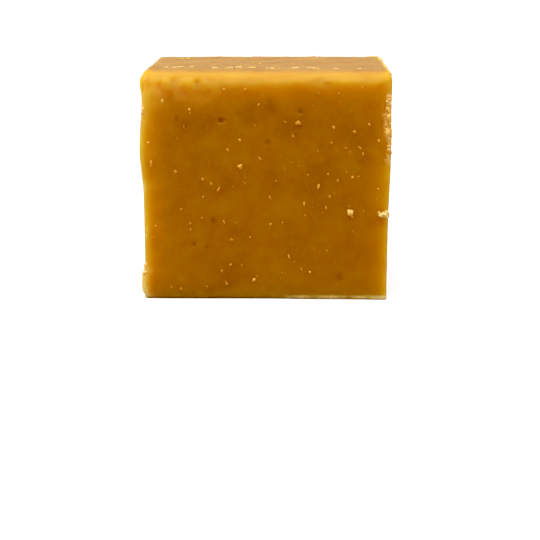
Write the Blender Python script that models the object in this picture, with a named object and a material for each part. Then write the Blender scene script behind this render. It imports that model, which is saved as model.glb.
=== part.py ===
"""Fudge cube: one hand-cut block of caramel fudge, as a single solid.

The fudge was poured as a slab, its top was spread with a knife and left to set, and
the block was then cut out with four strokes of a long blade. So the top is a soft,
rippled skin with a broad shoulder, the four sides are cut faces that bow a little
where the blade wandered, and the base is the flat underside of the slab.

Metres, +Z up. The origin is at the middle of the base, and the front faces -Y.
"""

import math

import bmesh
import bpy
from mathutils import Vector, noise

MM = 0.001

# Driving dimensions.
WIDTH = 30.0 * MM  # along X, across the front
DEPTH = 25.0 * MM  # along Y
HEIGHT = 27.5 * MM  # along Z

# Edge rounding: the blade dragged the top over into a soft shoulder at the front and
# left, and left the other edges crisper.
SHOULDER_FRONT = 1.9 * MM
SHOULDER_LEFT = 1.6 * MM
SHOULDER_RIGHT = 1.0 * MM
SHOULDER_BACK = 0.5 * MM
SHOULDER_MERGE = 2.0 * MM  # how softly one side's shoulder turns into the next one's
UPRIGHT_RADIUS = 0.8 * MM
BASE_RADIUS = 0.4 * MM
SHOULDER_BLEND = 7.0 * MM  # height over which an upright edge grows into the shoulder
BASE_BLEND = 3.0 * MM  # height over which it shrinks to the radius at the base

# How far the cut sides stray from a plane.
BLADE_WANDER = 0.18 * MM
WANDER_LENGTH = 16.0 * MM
LEFT_LEAN = 0.34 * MM  # the left and right cuts lean in this far towards the foot
RIGHT_LEAN = 0.44 * MM
LEFT_BULGE = 0.38 * MM  # each of the two swells out part of the way up
LEFT_BULGE_HEIGHT = 18.0 * MM
LEFT_BULGE_REACH = 6.0 * MM
RIGHT_BULGE = 0.16 * MM
RIGHT_BULGE_HEIGHT = 16.5 * MM
RIGHT_BULGE_REACH = 7.0 * MM
BURR = 0.42 * MM  # the blade drew a low lip out along the foot of the left side
BURR_HEIGHT = 1.8 * MM
BURR_REACH = 1.8 * MM

# Ripples that the spreading knife left in the top.
RIPPLE_DEPTH = 0.16 * MM
RIPPLE_SPACING = 6.2 * MM
RIPPLE_HEADING = math.radians(52.0)  # from +X towards +Y
RIPPLE_DRIFT = 2.2 * MM  # how far a ripple strays from a straight line
RIPPLE_MARGIN = 3.5 * MM  # the ripples die out this far from the edges

SEGMENTS = 22  # grid squares along each edge of the block
EDGE_CROWDING = 0.9  # 0 spaces the grid evenly, 1 gathers it fully towards the edges

NODE = "fudge_cube"
FUDGE_COLOUR = (0.50, 0.17, 0.006, 1.0)
FUDGE_ROUGHNESS = 0.55


def ramp(value, low, high):
    """0 below low, 1 above high, and a smooth S between them."""
    t = min(max((value - low) / (high - low), 0.0), 1.0)
    return t * t * (3.0 - 2.0 * t)


def bump(value, centre, reach):
    """1 at the centre, falling smoothly to 0 at reach on either side."""
    return 1.0 - ramp(abs(value - centre), 0.0, reach)


def crowd(t):
    """Moves a grid coordinate from -1 to 1 towards the nearer edge."""
    return (1.0 - EDGE_CROWDING) * t + EDGE_CROWDING * math.sin(t * math.pi / 2.0)


def shoulder_radius(point):
    """The shoulder's rounding here: each side's own, weighted by how near that side is."""
    sides = (
        (SHOULDER_FRONT, point.y + DEPTH / 2),
        (SHOULDER_BACK, DEPTH / 2 - point.y),
        (SHOULDER_LEFT, point.x + WIDTH / 2),
        (SHOULDER_RIGHT, WIDTH / 2 - point.x),
    )
    weights = [1.0 / (distance + SHOULDER_MERGE) ** 2 for _, distance in sides]
    return sum(side[0] * w for side, w in zip(sides, weights)) / sum(weights)


def edge_radius(point):
    """The rounding of the block's edges at this point."""
    shoulder = shoulder_radius(point)
    to_shoulder = ramp(point.z, HEIGHT - shoulder - SHOULDER_BLEND, HEIGHT - shoulder)
    to_base = 1.0 - ramp(point.z, BASE_RADIUS, BASE_RADIUS + BASE_BLEND)
    radius = UPRIGHT_RADIUS
    radius += (shoulder - UPRIGHT_RADIUS) * to_shoulder
    radius += (BASE_RADIUS - UPRIGHT_RADIUS) * to_base
    return radius


def rounded_block(point):
    """Carries a point of the sharp block onto the rounded one."""
    radius = edge_radius(point)
    core_low = Vector((-WIDTH / 2, -DEPTH / 2, 0.0)) + Vector((radius, radius, radius))
    core_high = Vector((WIDTH / 2, DEPTH / 2, HEIGHT)) - Vector((radius, radius, radius))
    core = Vector(min(max(p, low), high) for p, low, high in zip(point, core_low, core_high))
    outward = point - core
    if outward.length == 0.0:
        return point
    return core + outward.normalized() * radius


def blade_wander(point):
    """The sideways stray of the cut faces at this point, from a slow swell on each side."""
    swell = noise.noise(point / WANDER_LENGTH + Vector((6.2, 9.4, 0.6)))
    stray_y = BLADE_WANDER * swell * point.y / (DEPTH / 2)

    swell = noise.noise(point / WANDER_LENGTH + Vector((3.7, 1.3, 8.1)))
    out_x = BLADE_WANDER * swell
    to_foot = 1.0 - point.z / HEIGHT
    if point.x < 0.0:
        out_x -= LEFT_LEAN * to_foot
        out_x += LEFT_BULGE * bump(point.z, LEFT_BULGE_HEIGHT, LEFT_BULGE_REACH)
        out_x += BURR * bump(point.z, BURR_HEIGHT, BURR_REACH)
    else:
        out_x -= RIGHT_LEAN * to_foot
        out_x += RIGHT_BULGE * bump(point.z, RIGHT_BULGE_HEIGHT, RIGHT_BULGE_REACH)
    return Vector((out_x * point.x / (WIDTH / 2), stray_y, 0.0))


def top_ripple(point):
    """The height that the knife's ripples add at this point of the top."""
    from_edge = min(WIDTH / 2 - abs(point.x), DEPTH / 2 - abs(point.y))
    on_top = ramp(point.z, HEIGHT - SHOULDER_BACK, HEIGHT)
    along = point.x * math.cos(RIPPLE_HEADING) + point.y * math.sin(RIPPLE_HEADING)
    across = point.y * math.cos(RIPPLE_HEADING) - point.x * math.sin(RIPPLE_HEADING)
    drift = RIPPLE_DRIFT * noise.noise(Vector((along, across, 0.0)) / WANDER_LENGTH)
    wave = math.sin((across + drift) / RIPPLE_SPACING * math.tau)
    return RIPPLE_DEPTH * wave * on_top * ramp(from_edge, 0.0, RIPPLE_MARGIN)


def shape_block(bm):
    """Turns the gridded unit cube into the block, then fits it to its driving dimensions."""
    for vertex in bm.verts:
        grid = Vector(crowd(2.0 * t) / 2.0 for t in vertex.co)
        sharp = Vector((grid.x * WIDTH, grid.y * DEPTH, (grid.z + 0.5) * HEIGHT))
        point = rounded_block(sharp)
        point += blade_wander(point)
        point.z += top_ripple(point)
        vertex.co = point

    size = Vector((WIDTH, DEPTH, HEIGHT))
    low = Vector(min(v.co[axis] for v in bm.verts) for axis in range(3))
    high = Vector(max(v.co[axis] for v in bm.verts) for axis in range(3))
    middle_of_base = Vector(((low.x + high.x) / 2, (low.y + high.y) / 2, low.z))
    for vertex in bm.verts:
        from_base = vertex.co - middle_of_base
        vertex.co = Vector(p * want / (b - a) for p, want, a, b in zip(from_base, size, low, high))


def fudge_material():
    material = bpy.data.materials.new("caramel_fudge")
    material.use_nodes = True
    shader = material.node_tree.nodes["Principled BSDF"]
    shader.inputs["Base Color"].default_value = FUDGE_COLOUR
    shader.inputs["Roughness"].default_value = FUDGE_ROUGHNESS
    shader.inputs["Metallic"].default_value = 0.0
    return material


def make_fudge_cube(collection):
    bm = bmesh.new()
    bmesh.ops.create_cube(bm, size=1.0)
    bmesh.ops.subdivide_edges(bm, edges=bm.edges[:], cuts=SEGMENTS - 1, use_grid_fill=True)
    shape_block(bm)
    mesh = bpy.data.meshes.new(NODE)
    bm.to_mesh(mesh)
    bm.free()
    mesh.shade_smooth()
    mesh.materials.append(fudge_material())
    collection.objects.link(bpy.data.objects.new(NODE, mesh))


def main():
    for obj in list(bpy.data.objects):
        bpy.data.objects.remove(obj, do_unlink=True)
    collection = bpy.data.collections.new("Fudge cube")
    bpy.context.scene.collection.children.link(collection)
    make_fudge_cube(collection)


main()
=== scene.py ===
"""The looks of a hand-cut cube of caramel fudge.

The fudge was boiled, beaten until it grained, poured as a slab, spread with a knife
and left to set, and then cut with a long blade. So it shows three finishes: the skin
that set on top, smooth faces that the blade sheared, and pale, dry sugar wherever the
grain broke open, which is along the edges, in the pits and in loose crumbs.

Everything is in metres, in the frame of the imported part: +Z up, front towards -Y.
"""

import math

import bmesh
import bpy
import numpy as np
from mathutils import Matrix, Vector, noise
from mathutils.bvhtree import BVHTree


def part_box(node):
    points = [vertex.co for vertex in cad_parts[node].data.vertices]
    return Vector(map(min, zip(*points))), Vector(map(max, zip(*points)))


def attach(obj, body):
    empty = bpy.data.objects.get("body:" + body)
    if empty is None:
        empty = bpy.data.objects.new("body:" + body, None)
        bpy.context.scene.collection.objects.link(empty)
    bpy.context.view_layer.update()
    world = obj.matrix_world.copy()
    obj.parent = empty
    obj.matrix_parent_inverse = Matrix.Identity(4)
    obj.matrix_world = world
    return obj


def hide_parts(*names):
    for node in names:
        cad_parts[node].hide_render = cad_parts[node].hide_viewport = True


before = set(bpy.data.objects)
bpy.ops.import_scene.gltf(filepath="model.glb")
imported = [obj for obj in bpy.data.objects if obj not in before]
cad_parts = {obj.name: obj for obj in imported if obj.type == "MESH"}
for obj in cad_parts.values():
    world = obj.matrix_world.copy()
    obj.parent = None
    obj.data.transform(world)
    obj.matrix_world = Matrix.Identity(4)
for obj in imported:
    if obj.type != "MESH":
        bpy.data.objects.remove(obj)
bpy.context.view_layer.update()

MM = 0.001
BLOCK_LOW, BLOCK_HIGH = (np.array(corner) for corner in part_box("fudge_cube"))
WIDTH, DEPTH, HEIGHT = BLOCK_HIGH - BLOCK_LOW
HALF_WIDTH = WIDTH / 2
HALF_DEPTH = DEPTH / 2

# The rounding of the block's edges: the solid's, but crisper at the left of the top and
# along the base.
SHOULDER_FRONT = 1.9 * MM
SHOULDER_LEFT = 1.05 * MM
SHOULDER_RIGHT = 1.0 * MM
SHOULDER_BACK = 0.5 * MM
SHOULDER_MERGE = 2.0 * MM  # how softly one side's shoulder turns into the next one's
UPRIGHT_RADIUS = 0.8 * MM
BASE_RADIUS = 0.25 * MM
SHOULDER_BLEND = 7.0 * MM  # height over which an upright edge grows into the shoulder
BASE_BLEND = 3.0 * MM  # height over which it shrinks to the radius at the base

# The stray of the cut faces from a plane, as the solid has it. Only the burr, a low lip
# along the foot of the left side, is more ragged here.
BLADE_WANDER = 0.18 * MM
WANDER_LENGTH = 16.0 * MM
LEFT_LEAN = 0.34 * MM
RIGHT_LEAN = 0.44 * MM
LEFT_BULGE = 0.38 * MM
LEFT_BULGE_HEIGHT = 18.0 * MM
LEFT_BULGE_REACH = 6.0 * MM
RIGHT_BULGE = 0.16 * MM
RIGHT_BULGE_HEIGHT = 16.5 * MM
RIGHT_BULGE_REACH = 7.0 * MM
BURR = 0.42 * MM
BURR_TOP = 3.7 * MM
BURR_RAGGED = 1.1 * MM
BURR_FALL = 1.3 * MM  # how much lower its top gets towards the back

# The ripples of the top, where the solid has them but shallower.
RIPPLE_DEPTH = 0.06 * MM
RIPPLE_SPACING = 6.2 * MM
RIPPLE_HEADING = math.radians(52.0)
RIPPLE_DRIFT = 2.2 * MM
RIPPLE_MARGIN = 3.5 * MM  # they die out this far from the edges
CREASE_DEPTH = 0.045 * MM
CREASE_WIDTH = 0.22  # in radians of the ripples' wave
LINE_DEPTH = 0.022 * MM  # of the fine lines drawn along the ripples
RUFFLE_DEPTH = 0.02 * MM

# The visual block only: the front and back lean in a little under the top, where the blade
# went in and pressed the slab down, and the front shoulder is flatter than an arc.
CROWN = 0.54 * MM
CROWN_REACH = 5.6 * MM
SHOULDER_FLAT = 0.07  # of its radius

# The visual block only: the blade drew the front right edge out a little.
SPLAY = 0.22 * MM
SPLAY_REACH = 7.0 * MM

# How far a face looks up, from 0 to 1, where the skin of the top begins.
SKIN_START = 0.72

# The visual block only: a thin, dry lip along the foot of the front, towards the right.
FOOT_LIP = 0.18 * MM
FOOT_LIP_START = 1.0 * MM  # right of the middle
FOOT_LIP_FULL = 4.0 * MM

# The grid that the block is shaped from, finer over the top, beside edges and at pits.
GRID_SQUARES = 70  # along each edge of the block
EDGE_CROWDING = 0.45  # 0 spaces them evenly, 1 gathers them fully towards the edges
FINE_EDGE_BAND = 1.5 * MM
FINE_PIT_BAND = 1.5  # in radii of the pit

# The upright sides: the way across each, left to right as seen from outside, and outward.
SIDES = {
    "front": ((1.0, 0.0), (0.0, -1.0)),
    "right": ((0.0, 1.0), (1.0, 0.0)),
    "back": ((-1.0, 0.0), (0.0, 1.0)),
    "left": ((0.0, -1.0), (-1.0, 0.0)),
}

# How far the grain broke open along each edge: 0 is a clean, smeared cut and 1 all crumbs.
EDGE_CRUMBLE = (
    ("front", "left", 0.6),
    ("front", "right", 0.3),
    ("back", "left", 0.7),
    ("back", "right", 0.7),
    ("top", "front", 0.12),
    ("top", "right", 0.8),
    ("top", "back", 0.5),
    ("top", "left", 0.35),
    *(("base", side, 0.3) for side in SIDES),
)
CRUMBLE_WIDTH = 1.0 * MM  # how far in from an edge it reaches
CRUMBLE_DEPTH = 0.13 * MM
CRUMBLE_GRAIN = 0.42 * MM  # the size of its lumps
CRUMBLE_PATCH = 4.0 * MM  # the size of its patches

# The lists of places below are in mm, with strengths from 0 to 1.

# Where it broke open most: runs between two points, with their reach and strength.
CRUMBLE_RUNS = (
    ((14.9, -12.4, 24.3), (14.9, -12.4, 17.0), 0.8, 1.0),
    ((14.7, -12.5, 22.3), (14.7, -12.5, 19.8), 1.05, 1.0),
    ((14.9, -11.0, 27.3), (14.9, 12.0, 27.3), 0.6, 0.65),
    ((14.2, 11.6, 27.4), (14.9, 12.4, 26.8), 1.5, 1.0),
    ((-15.0, -12.4, 3.4), (-15.0, -12.4, 4.3), 0.6, 1.0),
    ((-15.0, -12.2, 21.3), (-15.0, -12.2, 23.2), 0.55, 0.8),
    ((-15.0, -12.2, 13.0), (-15.0, -12.2, 16.0), 0.45, 0.5),
    ((13.9, -12.5, 10.4), (14.6, -12.5, 10.6), 0.5, 1.0),
    ((-15.0, 9.5, 26.5), (-15.0, 12.5, 24.0), 1.2, 1.0),
    ((15.0, 12.5, 7.0), (15.0, 12.5, 13.0), 0.9, 1.0),
    ((-15.0, 12.5, 12.0), (-15.0, 12.5, 21.0), 0.7, 0.9),
)

# The pits in the front, where the blade cut a bubble open: across, up, radius and, in
# radii, depth. The shallow ones have nearly closed again under the blade.
FRONT_PITS = (
    (-5.2, 21.6, 0.5, 0.25),
    (4.2, 22.7, 0.46, 0.16),
    (-10.6, 21.8, 0.5, 0.06),
    (-9.5, 20.9, 0.34, 0.14),
    (-7.4, 20.8, 0.42, 0.08),
    (0.2, 19.0, 0.45, 0.08),
    (-8.8, 6.7, 0.36, 0.2),
    (-7.2, 6.4, 0.3, 0.15),
    (-6.4, 9.6, 0.55, 0.08),
    (9.1, 2.8, 0.7, 0.06),
)

# The pits elsewhere lie where a seeded draw puts them.
TOP_PITS = 9
SIDE_PITS = 8  # in each of the other three sides
VOIDS = 1  # of those, each some hollows that ran together, full of loose grain
VOID_HOLLOWS = 4
VOID_DEPTH = 0.4  # in radii of a hollow
PIT_RAGGEDNESS = 0.42
LIP_HIGHLIGHT = 0.7  # paleness of the painted highlight on the lower lip of the deeper pits, which faces the light from above

# Dark patches of the front: across, up, radius and strength. Most are where the fudge caught and
# boiled darker. Those on pits and in the shoulder's dents are painted shade, and the two lowest,
# on the left, are a painted shadow along the foot.
FRONT_STAINS_AND_SHADE = (
    (-2.2, 21.9, 1.7, 0.3),
    (-1.6, 22.7, 1.6, 0.3),
    (-0.8, 22.3, 1.1, 0.16),
    (0.5, 23.2, 1.0, 0.42),
    (1.0, 22.9, 0.7, 0.3),
    (7.4, 26.0, 0.7, 0.3),
    (4.2, 22.7, 0.6, 0.3),
    (-11.0, 26.0, 0.7, 0.16),
    (-8.1, 25.9, 0.8, 0.12),
    (-9.6, 0.6, 2.2, 0.2),
    (-6.6, 0.4, 1.7, 0.22),
    (-8.3, 21.1, 2.4, 0.2),
    (-8.0, 17.2, 1.6, 0.16),
    (4.6, 22.0, 1.5, 0.16),
    (11.9, 17.0, 1.6, 0.2),
    (-6.5, 16.4, 2.6, 0.1),
    (-12.4, 4.8, 3.2, 0.11),
    (-8.4, 15.4, 1.3, 0.2),
    (-6.3, 9.6, 1.1, 0.2),
    (-4.6, 2.3, 1.5, 0.14),
    (9.2, 2.9, 1.0, 0.2),
)
SIDE_STAINS = 9  # in each of the other three sides
STAIN_RAGGEDNESS = 0.75

# The same in the top: right, back, radius and strength.
TOP_SMUDGES = (
    (10.2, -2.8, 3.2, 0.3),
    (8.0, 2.0, 9.0, 0.12),
)

# How much yellower the fudge is beside the edges of each side: strength and reach. It is partly
# drier there and partly a painted glow of the light that shines through the edges.
DRIED_AND_GLOW_SIDES = (
    ("left", 0.38, 5.0),
    ("back", 0.26, 5.0),
    ("right", 0.34, 3.0),
    ("top", 0.26, 4.2),
    ("base", 0.36, 1.6),
)

# Pale patches of the front: across, up, radius and strength. Most are dry dust. The first three,
# high on the left of the shoulder, are painted sheen of the light from above, and the last, wide
# and faint, lightens the upper right.
FRONT_DUST_AND_SHEEN = (
    (-12.9, 25.3, 1.9, 0.34),
    (-10.0, 25.1, 1.6, 0.42),
    (-8.9, 25.4, 1.6, 0.3),
    (-8.2, 24.0, 1.2, 0.14),
    (-14.2, 21.2, 1.1, 0.3),
    (-14.3, 18.8, 0.8, 0.24),
    (-11.8, 20.4, 1.0, 0.12),
    (3.9, 21.6, 0.7, 0.14),
    (13.0, 15.2, 0.9, 0.12),
    (9.4, 18.3, 1.2, 0.12),
    (12.3, 22.3, 2.8, 0.09),
)

# Where the blade smeared a grain along the front: from, to, half width and strength.
FRONT_SMEARS = (
    ((7.5, 19.3), (8.8, 18.1), 0.4, 0.4),
    ((9.4, 18.6), (10.3, 17.4), 0.4, 0.26),
    ((11.8, 18.1), (12.5, 18.2), 0.35, 0.22),
    ((4.6, 19.2), (5.5, 18.8), 0.5, 0.28),
    ((4.6, 17.7), (4.9, 17.3), 0.35, 0.34),
    ((6.7, 17.3), (6.7, 16.5), 0.3, 0.24),
    ((-7.6, 14.9), (-6.8, 14.5), 0.35, 0.26),
    ((-4.6, 7.5), (-3.2, 7.3), 0.4, 0.26),
    ((-10.7, 2.9), (-9.9, 2.2), 0.5, 0.22),
    ((-8.4, 23.3), (-8.9, 24.6), 0.4, 0.26),
)

# Dents in the front of the shoulder: across, up, half width, half height and depth.
SHOULDER_DENTS = (
    (-11.0, 26.1, 0.45, 1.0, 0.28),
    (-8.2, 26.0, 0.5, 1.0, 0.3),
    (-12.6, 25.6, 0.5, 0.8, 0.06),
    (-5.6, 26.0, 0.7, 0.5, 0.05),
    (-1.4, 26.2, 0.6, 0.4, 0.05),
    (4.2, 26.3, 0.6, 0.5, 0.05),
    (7.4, 25.9, 0.8, 0.4, 0.14),
)

# The lumps that the blade tore along the left of the shoulder as it went in.
TORN_HEIGHT = 25.4 * MM
TORN_REACH = 2.4 * MM
TORN_DEPTH = 0.42 * MM
TORN_SIZE = (0.9 * MM, 0.9 * MM, 1.9 * MM)

# A low seam across the top, where the skin cracked as the blade pressed the front down.
SEAM_Y = -8.6 * MM
SEAM_SLANT = -0.13
SEAM_STRAY = 0.45 * MM
SEAM_HEIGHT = 0.08 * MM
SEAM_WIDTH = 0.7 * MM
SEAM_DRY_WIDTH = 0.45 * MM
SEAM_DRYNESS = 0.35

# Where the seam broke open to dry grain, from and to, in mm across.
SEAM_BREAKS = (
    (-12.6, -11.8), (-11.4, -9.9), (-9.2, -8.7), (-6.8, -5.8),
    (-4.8, -4.0), (-3.6, -2.9), (-2.4, -1.1), (0.1, 1.1),
    (2.9, 3.9), (5.0, 6.3), (8.3, 8.7), (10.8, 11.3),
)

# The fine relief of the cut faces: depth in mm, size of the features and place in the noise.
SIDE_RELIEF = (
    (0.030, 3.0 * MM, (0.9, 6.1, 3.2)),  # lumps
    (0.014, 1.1 * MM, (4.4, 2.2, 9.7)),  # smaller lumps
    (0.012, (0.55 * MM, 0.55 * MM, 6.0 * MM), (7.3, 1.9, 0.5)),  # the blade's upright drag
    (0.008, 0.45 * MM, (3.1, 8.8, 5.5)),  # grain
)

# The same for the rounding under the top.
SHOULDER_RELIEF = (
    (0.14, (1.9 * MM, 1.9 * MM, 1.6 * MM), (3.9, 0.8, 6.2)),
    (0.07, (0.8 * MM, 0.8 * MM, 1.4 * MM), (2.1, 5.9, 7.4)),
)

SEED = 11  # of every random draw


def ramp(value, low, high):
    """0 below low, 1 above high, and a smooth S between them."""
    t = np.clip((value - low) / (high - low), 0.0, 1.0)
    return t * t * (3.0 - 2.0 * t)


def bump(value, centre, reach):
    """1 at the centre, falling smoothly to 0 at reach on either side."""
    return 1.0 - ramp(np.abs(value - centre), 0.0, reach)


def noise_at(points, size, offset=(0.0, 0.0, 0.0)):
    """Smooth noise of about -1 to 1. Size is that of its features, one number or three.

    The offset is a place in the noise, so that no two uses look alike.
    """
    shifted = points / np.array(size) + np.array(offset)
    return np.array([noise.noise(p) for p in shifted.tolist()])


def layered_noise(points, layers):
    """The sum of layers of noise, each a depth, a size of features and an offset."""
    return sum(depth * noise_at(points, size, offset) for depth, size, offset in layers)


def stack(x, y, z):
    """Points from their coordinates, each an array or one number for all."""
    return np.column_stack(np.broadcast_arrays(x, y, z))


# --- the block ---


def shoulder_radius(points):
    sides = (
        (SHOULDER_FRONT, points[:, 1] + HALF_DEPTH),
        (SHOULDER_BACK, HALF_DEPTH - points[:, 1]),
        (SHOULDER_LEFT, points[:, 0] + HALF_WIDTH),
        (SHOULDER_RIGHT, HALF_WIDTH - points[:, 0]),
    )
    weights = [1.0 / (distance + SHOULDER_MERGE) ** 2 for _, distance in sides]
    return sum(side[0] * w for side, w in zip(sides, weights)) / sum(weights)


def edge_radius(points):
    z = points[:, 2]
    shoulder = shoulder_radius(points)
    to_shoulder = ramp(z, HEIGHT - shoulder - SHOULDER_BLEND, HEIGHT - shoulder)
    to_base = 1.0 - ramp(z, BASE_RADIUS, BASE_RADIUS + BASE_BLEND)
    radius = UPRIGHT_RADIUS + (shoulder - UPRIGHT_RADIUS) * to_shoulder
    return radius + (BASE_RADIUS - UPRIGHT_RADIUS) * to_base


def rounded_block(points):
    """The rounded block's points for those of the sharp one, and its outward directions."""
    radius = edge_radius(points)[:, None]
    core = np.clip(points, BLOCK_LOW + radius, BLOCK_HIGH - radius)
    outward = points - core
    outward /= np.linalg.norm(outward, axis=1)[:, None]
    return core + outward * radius, outward


def blade_wander(points):
    """How far each point strays as the blade wandered, with the burr at the left, as a move."""
    x, y, z = points.T
    stray_y = BLADE_WANDER * noise_at(points, WANDER_LENGTH, (6.2, 9.4, 0.6)) * y / HALF_DEPTH
    out_x = BLADE_WANDER * noise_at(points, WANDER_LENGTH, (3.7, 1.3, 8.1))
    left = -LEFT_LEAN * (1.0 - z / HEIGHT)
    left += LEFT_BULGE * bump(z, LEFT_BULGE_HEIGHT, LEFT_BULGE_REACH)
    along = stack(0.0, y, 0.0)
    burr_top = BURR_TOP + BURR_RAGGED * noise_at(along, 4.0 * MM, (5.5, 0.0, 2.1))
    burr_top -= BURR_FALL * ramp(y, -HALF_DEPTH, HALF_DEPTH)
    burr = BURR * (1.0 - 0.85 * ramp(y, -HALF_DEPTH, -HALF_DEPTH / 2))
    burr *= ramp(z, 0.2 * MM, 1.1 * MM)
    left += burr * (1.0 - ramp(z, burr_top - 0.9 * MM, burr_top))
    right = -RIGHT_LEAN * (1.0 - z / HEIGHT)
    right += RIGHT_BULGE * bump(z, RIGHT_BULGE_HEIGHT, RIGHT_BULGE_REACH)
    out_x += np.where(x < 0.0, left, right)
    return stack(out_x * x / HALF_WIDTH, stray_y, 0.0)


def foot_lip(points):
    """How far the foot of the front stands out in a thin lip, towards the right."""
    x, y, z = points.T
    out = FOOT_LIP * ramp(x, FOOT_LIP_START, FOOT_LIP_FULL)
    out *= 1.0 + 0.7 * noise_at(points, 3.0 * MM, (1.2, 7.7, 3.4))
    out *= 1.0 - ramp(z, 0.15 * MM, 0.6 * MM)
    return out * ramp(-y, HALF_DEPTH - 0.9 * MM, HALF_DEPTH - 0.3 * MM)


def ripple_phase(points):
    """Where each point of the top lies in the ripples, and how far along them."""
    x, y, _ = points.T
    along = x * math.cos(RIPPLE_HEADING) + y * math.sin(RIPPLE_HEADING)
    across = y * math.cos(RIPPLE_HEADING) - x * math.sin(RIPPLE_HEADING)
    flat = stack(along, across, 0.0)
    drift = RIPPLE_DRIFT * noise_at(flat, WANDER_LENGTH)
    return (across + drift) / RIPPLE_SPACING * math.tau, flat


def from_top_edge(points):
    return np.minimum(HALF_WIDTH - np.abs(points[:, 0]), HALF_DEPTH - np.abs(points[:, 1]))


def top_ripple(points):
    phase, _ = ripple_phase(points)
    on_top = ramp(points[:, 2], HEIGHT - SHOULDER_BACK, HEIGHT)
    return RIPPLE_DEPTH * np.sin(phase) * on_top * ramp(from_top_edge(points), 0.0, RIPPLE_MARGIN)


def crown(points):
    """How far the front and back lean in under the top, most at the left, as a move."""
    x, y, z = points.T
    lean = CROWN * np.clip((z - (HEIGHT - CROWN_REACH)) / CROWN_REACH, 0.0, 1.0) ** 2
    uneven = 0.35 * noise_at(stack(x, y, 0.0), 4.5 * MM, (2.2, 7.1, 0.4))
    lean *= 1.0 - 0.45 * x / HALF_WIDTH + uneven
    lean *= 1.0 + 0.4 * ramp(-x, 4.0 * MM, 8.0 * MM)
    return stack(0.0, -lean * y / HALF_DEPTH, 0.0)


def shoulder_flat(points, outward):
    """How far the front shoulder is pressed in: it is flatter there than a true arc."""
    halfway = 4.0 * (np.minimum(outward[:, 1], 0.0) * np.maximum(outward[:, 2], 0.0)) ** 2
    return SHOULDER_FLAT * shoulder_radius(points) * halfway


def splay(points):
    """How far the blade drew the front right edge out to the right, as a move."""
    x, y, _ = points.T
    out = SPLAY * ramp(x, HALF_WIDTH - SPLAY_REACH, HALF_WIDTH)
    out *= 1.0 - ramp(y, -HALF_DEPTH, SPLAY_REACH - HALF_DEPTH)
    return stack(out, 0.0, 0.0)


def from_sides(points):
    """How far each point of the sharp block is in from each of its six sides."""
    x, y, z = points.T
    return {
        "front": y + HALF_DEPTH,
        "back": HALF_DEPTH - y,
        "left": x + HALF_WIDTH,
        "right": HALF_WIDTH - x,
        "top": HEIGHT - z,
        "base": z,
    }


def to_nearest_edge(inward):
    """About how far each point is from the nearest edge, given how far in from each side."""
    return np.sort(np.column_stack(list(inward.values())), axis=1)[:, 1]


def from_edge(points, side, other):
    """About how far each point is from the edge that two sides share."""
    inward = from_sides(points)
    return np.maximum(inward[side], inward[other])


def on_side(side, across, up):
    """The point of the sharp block this far across and up an upright side."""
    way, out = SIDES[side]
    x = across * way[0] + out[0] * HALF_WIDTH
    y = across * way[1] + out[1] * HALF_DEPTH
    return np.array((x, y, up))


def half_across(side):
    return HALF_WIDTH if side in ("front", "back") else HALF_DEPTH


def find_pits():
    """Every pit, as its middle on the sharp block, its radius, its depth and its side."""
    pits = [
        (on_side("front", x * MM, z * MM), radius * MM, depth, "front")
        for x, z, radius, depth in FRONT_PITS
    ]
    rng = np.random.default_rng(SEED)
    for side in ("right", "back", "left"):
        for number in range(SIDE_PITS):
            margin = 2.5 * MM
            across = rng.uniform(margin - half_across(side), half_across(side) - margin)
            up = rng.uniform(margin, HEIGHT - margin)
            if number < VOIDS:
                for _ in range(VOID_HOLLOWS):
                    stray = rng.normal(0.0, 0.38, 2) * MM
                    middle = on_side(side, across + stray[0], up + stray[1])
                    pits.append((middle, rng.uniform(0.35, 0.65) * MM, VOID_DEPTH, side))
            else:
                radius, depth = rng.uniform(0.25, 0.5) * MM, rng.uniform(0.06, 0.35)
                pits.append((on_side(side, across, up), radius, depth, side))
    for _ in range(TOP_PITS):
        x, y = rng.uniform(-0.85, 0.85) * HALF_WIDTH, rng.uniform(-0.4, 0.85) * HALF_DEPTH
        radius = rng.uniform(0.2, 0.42) * MM
        pits.append((np.array((x, y, HEIGHT)), radius, rng.uniform(0.2, 0.5), "top"))
    return pits


def find_stains_and_shade():
    """Every dark patch, as its middle on the sharp block, its radius and its strength."""
    stains = [
        (on_side("front", x * MM, z * MM), radius * MM, strength)
        for x, z, radius, strength in FRONT_STAINS_AND_SHADE
    ]
    stains += [
        (np.array((x * MM, y * MM, HEIGHT)), radius * MM, strength)
        for x, y, radius, strength in TOP_SMUDGES
    ]
    rng = np.random.default_rng(SEED + 1)
    for side in ("right", "back", "left"):
        for _ in range(SIDE_STAINS):
            across = rng.uniform(-0.85, 0.85) * half_across(side)
            middle = on_side(side, across, rng.uniform(0.08, 0.9) * HEIGHT)
            stains.append((middle, rng.uniform(1.0, 2.6) * MM, rng.uniform(0.15, 0.4)))
    return stains


PITS = find_pits()


def ragged_distance(points, middle, radius, raggedness=PIT_RAGGEDNESS):
    """How far each point is from a pit's or stain's middle, in radii of its ragged outline."""
    distance = np.linalg.norm(points - middle, axis=1) / radius
    near = distance < 3.0
    ragged = noise_at(points[near], radius * 0.9, (1.7, 4.1, 2.6))
    ragged += 0.5 * noise_at(points[near], radius * 0.4, (5.2, 0.3, 7.7))
    distance[near] *= 1.0 + raggedness * ragged
    return distance


def from_run(points, start, end):
    """How far each point is from the line between two points given in mm, in mm."""
    a, b = np.array(start), np.array(end)
    from_start = points / MM - a
    along = np.clip(from_start @ (b - a) / ((b - a) @ (b - a)), 0.0, 1.0)
    return np.linalg.norm(from_start - along[:, None] * (b - a), axis=1)


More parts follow.
